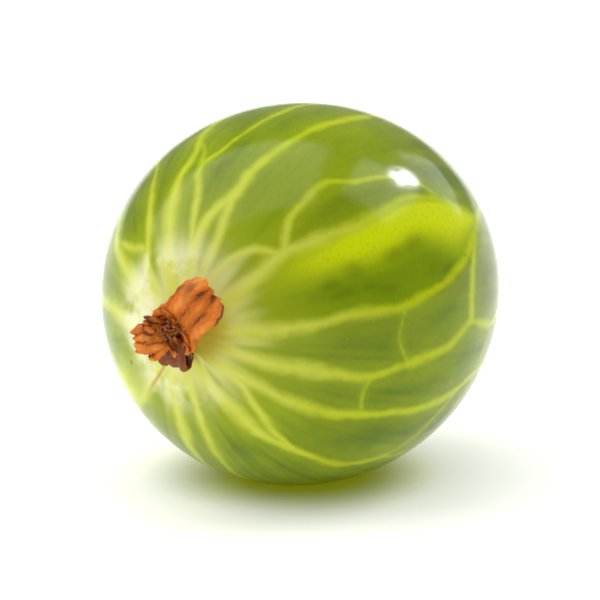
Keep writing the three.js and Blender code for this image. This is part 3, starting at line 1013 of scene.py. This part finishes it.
def stalk_body(columns=96):
    """Rings whose radius flares exponentially at the foot and by the cube at the end, with a bell where a
    small leaf sat and faint ridges as cosines round it. The middle line droops and swings with the square of
    the way out, and the last rings are inset and torn."""
    share = np.concatenate([[-STALK_SUNK], np.linspace(0, 1, 90), [1.0, 1.0, 1.0]])
    inset = np.concatenate([np.ones(91), [0.82, 0.55, 0.25]])
    out, turn = np.meshgrid(share * STALK_LENGTH, 2 * np.pi * np.arange(columns) / columns, indexing="ij")
    flare = (STALK_FOOT - STALK_WAIST) * np.exp(-np.maximum(out, 0) / STALK_FLARE)
    joint = (STALK_END - STALK_WAIST) * np.clip(out / STALK_LENGTH, 0, 1) ** 3
    ridges = 1 + 0.035 * np.cos(5 * turn + 0.4 * out) + 0.02 * waves(turn + 0.1 * out, [11, 17, 23], seed=6)
    leaf_scar = LEAF_SCAR * np.exp(-(((out - 0.62 * STALK_LENGTH) / 0.12) ** 2))
    radius = (STALK_WAIST + flare + joint + leaf_scar) * ridges * inset[:, None]
    torn = 0.09 * waves(3 * turn + 5 * inset[:, None], [2, 3, 5], seed=8) * (inset < 1)[:, None]
    rings = from_axis(turn, radius, out + torn)
    rings[..., 0] += STALK_SWING * out**2
    rings[..., 1] -= STALK_DROOP * out**2
    first_tip = np.array([0, 0, -STALK_SUNK * STALK_LENGTH])
    last_tip = np.array([STALK_SWING, -STALK_DROOP, 0]) * STALK_LENGTH**2 + [0, 0, STALK_LENGTH]
    points, faces = closed_body(stand_stalk(rings), stand_stalk(first_tip), stand_stalk(last_tip))
    return (points, faces), np.append(out.ravel() / STALK_LENGTH + (inset < 1).repeat(columns), [0, 2])


stalk_form, stalk_out = stalk_body()
stalk = add_piece("stalk_stem", "stalk", [stalk_form], {"stalk_out": stalk_out})

# %% [markdown]
# ## Stalk skin
# The stalk has a fine-grained green skin that turns brown and dry towards the break, and the break itself is
# pale wood, so the shader reads how far out each point lies.

# %% The stalk's material
STALK_GREEN = "#718c24"
STALK_SHADE = "#4c6a1a"
STALK_BROWN = "#7d6233"
BROKEN_WOOD = "#c4b183"
STALK_GRAIN = 0.667
STALK_GRAIN_HEIGHT = 0.06


def stalk_material():
    """Green with a darker grain, brown towards the broken end, and the colour of bare wood on it."""
    material, tree, place = new_material("green_stalk")
    out = add_node(tree, "ShaderNodeAttribute", {}, "Fac", attribute_name="stalk_out")
    grain = add_node(tree, "ShaderNodeTexNoise", pattern(place, STALK_GRAIN, Detail=5.0))
    fray = {"Value": grain, "Value_001": 0.3, "Value_002": out}
    frayed_out = add_node(tree, "ShaderNodeMath", fray, operation="MULTIPLY_ADD")
    layers = [
        ((grain, 0.5, 0.7, 0.8), STALK_SHADE),
        ((frayed_out, 0.9, 1.12, 0.9), STALK_BROWN),
        ((out, 1.2, 1.6, 1.0), BROKEN_WOOD),
    ]
    colour = layered(tree, STALK_GREEN, layers)
    height = {"Height": grain, "Distance": STALK_GRAIN_HEIGHT * MM, "Strength": 0.7}
    relief = add_node(tree, "ShaderNodeBump", height)
    return finished(material, {"Base Color": colour, "Roughness": 0.5, "IOR": 1.45, "Normal": relief})


stalk.data.materials.append(stalk_material())

# %% [markdown]
# ## Camera
# The camera looks at the fruit from its blossom end's side, a little above it. It stands well back with a
# long lens, as for a close-up of something small, so that the fruit's outline isn't bent by perspective.

# %% Aim the camera
CAMERA_AZIMUTH = np.radians(-57.7)
CAMERA_ELEVATION = np.radians(15)
CAMERA_DISTANCE = 400
FIELD_WIDTH = 32.0
SENSOR_WIDTH = 36
AIM = Vector((-0.6, -0.3, 9.7)) * MM

level = np.cos(CAMERA_ELEVATION)
look = Vector((-np.sin(CAMERA_AZIMUTH) * level, np.cos(CAMERA_AZIMUTH) * level, -np.sin(CAMERA_ELEVATION)))
camera = new_object("camera", bpy.data.cameras.new("camera"))
camera.location = AIM - look * CAMERA_DISTANCE * MM
camera.rotation_euler = look.to_track_quat("-Z", "Y").to_euler()
camera.data.sensor_width = SENSOR_WIDTH
camera.data.lens = SENSOR_WIDTH * CAMERA_DISTANCE / FIELD_WIDTH
camera.data.clip_start = 10 * MM
camera.data.clip_end = 100
bpy.context.scene.camera = camera
print("lens", round(camera.data.lens), "mm")

# %% [markdown]
# ## Floor and light
# The fruit lies on a white table that glows a little, in pale surroundings, as for a high-key studio shot.
# That keeps the shadow short and the underside clear. The light that comes through the fruit is the colour of
# its juice, so the table close to it is tinted. One very large softbox hangs above, a smaller one to its
# right gives the second pale reflection, and one behind to the right brightens the rim. A small strong one at
# the back right gives the bright glint, and doesn't light matt surfaces, so that it throws no shadow.

# %% The floor
# In metres; the tint's reach is in millimetres from the middle of the fruit.
FLOOR_SIDE = 30
FLOOR_WHITE = "#f6f6f4"
JUICE_LIGHT = "#a3aa18"
TABLE_GLOW = 0.36
TINTED_REACH = (9.0, 3.2)

floor_mesh = bpy.data.meshes.new("floor")
floor_square = np.array([(-1, -1, 0), (1, -1, 0), (1, 1, 0), (-1, 1, 0)])
floor_corners = floor_square * FLOOR_SIDE / 2 - [0, 0, 0.02 * MM]
floor_mesh.from_pydata(floor_corners, [], [(0, 1, 2, 3)])
floor = new_object("floor", floor_mesh)
floor_material, floor_tree, floor_place = new_material("white_table")
away = add_node(floor_tree, "ShaderNodeVectorMath", {"Vector": floor_place}, "Value", operation="LENGTH")
# Painted light and shadow: near the fruit the table's colour and glow are painted the juice's olive, for the
# light through the fruit and the shadow under it.
tinted = (away, TINTED_REACH[0] * MM, TINTED_REACH[1] * MM, 1.0)
floor_colour = layered(floor_tree, FLOOR_WHITE, [(tinted, JUICE_LIGHT)])
floor_finish = {
    "Base Color": floor_colour,
    "Roughness": 0.6,
    "Emission Color": floor_colour,
    "Emission Strength": TABLE_GLOW,
}
floor_mesh.materials.append(finished(floor_material, floor_finish))

# %% The lamps
def softbox(name, direction, long_side, distance, size, radiance):
    """A rectangular lamp that faces the fruit from a direction and a distance in metres. The first of its two
    sizes runs along its long side. Its power is the radiance times pi times its area."""
    data = bpy.data.lights.new(name, "AREA")
    data.shape = "RECTANGLE"
    data.size, data.size_y = size
    data.energy = radiance * np.pi * size[0] * size[1]
    lamp = new_object(name, data)
    back = direction.normalized()
    upwards = back.cross(long_side).normalized()
    sideways = upwards.cross(back)
    lamp.matrix_world = Matrix((sideways, upwards, back)).transposed().to_4x4()
    lamp.location = AIM + back * distance
    return lamp


right = look.cross(Vector((0, 0, 1))).normalized()
above = right.cross(look)
upper_left = 0.89 * above - 0.445 * right - 0.1 * look
far_right = 0.585 * right + 0.52 * above + 0.61 * look
softbox("overhead_softbox", upper_left, right, distance=0.9, size=(1.5, 0.95), radiance=2.1)
softbox("right_softbox", 0.6 * right + 0.78 * above, look, distance=0.9, size=(0.5, 0.4), radiance=3.0)
softbox("rim_softbox", far_right, right, distance=0.9, size=(0.3, 0.3), radiance=1.8)

back_right = (0.62 * right + 0.715 * above + 0.309 * look).normalized()
across = look.cross(back_right).normalized()
outwards = back_right.cross(across)
slanting = 0.92 * outwards + 0.39 * across
glint_lamp = softbox("back_softbox", back_right, slanting, distance=0.5, size=(0.1, 0.05), radiance=85.0)
glint_lamp.visible_diffuse = False

# %% The pale surroundings
WORLD_STRENGTH = 0.33

world = bpy.data.worlds.new("white_studio")
world.use_nodes = True
surroundings = world.node_tree.nodes["Background"]
surroundings.inputs["Color"].default_value = linear("#ffffff")
surroundings.inputs["Strength"].default_value = WORLD_STRENGTH
bpy.context.scene.world = world
bpy.context.scene.view_settings.view_transform = "Standard"
